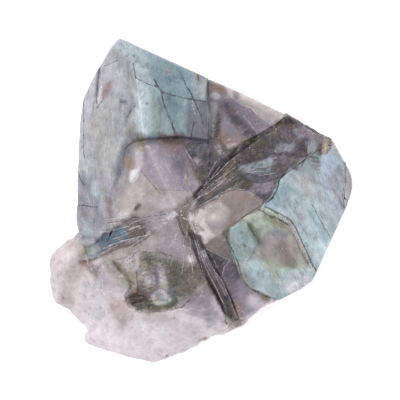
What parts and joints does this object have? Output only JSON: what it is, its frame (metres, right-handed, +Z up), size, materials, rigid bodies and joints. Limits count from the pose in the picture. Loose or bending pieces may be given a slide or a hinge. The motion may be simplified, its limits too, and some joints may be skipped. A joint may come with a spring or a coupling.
{
  "type": "partially polished emerald specimen",
  "caption": "Hand-sized mineral specimen: partly polished milky quartz matrix with grown-in emerald crystals and dark mica, lying on its flat underside.",
  "frame": {"origin": "on the surface that the stone lies on, under the middle of its outline", "axes": "+Z up out of the polished face, +Y along the long left edge towards the pointed end, +X towards the six-sided crystal end"},
  "size_m": [0.0581, 0.0614, 0.0299],
  "materials": {
    "milky_quartz": "milky, pink-white to mauve quartz, polished on the facets and natural on the lumps",
    "pale_emerald": "polished, grey-white prism face with fine striations and a teal front face",
    "teal_emerald": "polished pale teal beryl with growth lines",
    "dark_emerald": "dark teal beryl with bright edges",
    "dark_mica": "dark grey-green to smoky brown mica, half gloss",
    "brown_mica": "brown-violet mica blades with bright edges",
    "green_mica": "crumbly green-grey mica with pale grains"
  },
  "bodies": {
    "root": {"quartz_matrix": "milky_quartz", "large_emerald_crystal": "pale_emerald", "hexagonal_emerald_crystal": "teal_emerald", "small_emerald_blade": "dark_emerald", "mica_seam": "dark_mica", "mica_blades": "brown_mica", "mica_nest": "green_mica"}
  },
  "joints": []
}
